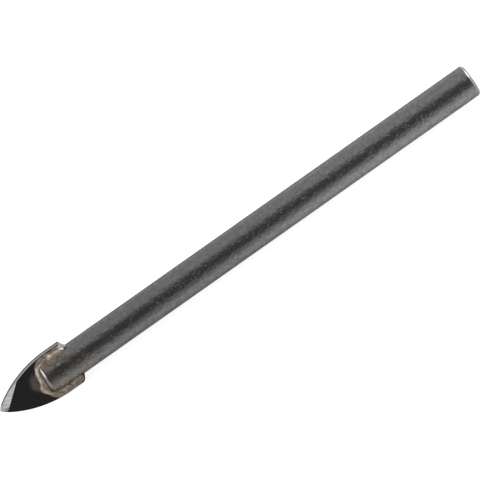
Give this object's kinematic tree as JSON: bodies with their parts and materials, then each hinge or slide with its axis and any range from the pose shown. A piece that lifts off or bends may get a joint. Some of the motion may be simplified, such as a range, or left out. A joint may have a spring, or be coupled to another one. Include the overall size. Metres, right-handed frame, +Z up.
{
  "type": "glass and tile drill bit",
  "caption": "Spear-point drill bit for glass and tile: a ground carbide plate brazed into the slotted front of a plain round steel shank.",
  "frame": {"origin": "centre of the footprint, on the floor under the lying bit", "axes": "+X along the bit's axis towards the shank's rear end, point towards -X; +Z up"},
  "size_m": [0.073, 0.0058, 0.0044],
  "materials": {
    "shank_steel": "drawn and tumbled dark satin steel, finely mottled",
    "carbide": "dark carbide, smooth faces and freshly ground lighter flanks",
    "braze_metal": "heat-stained copper and brass braze, lumpy and half shiny"
  },
  "bodies": {
    "root": {"shank": "shank_steel", "carbide_tip": "carbide", "braze": "braze_metal"}
  },
  "joints": []
}
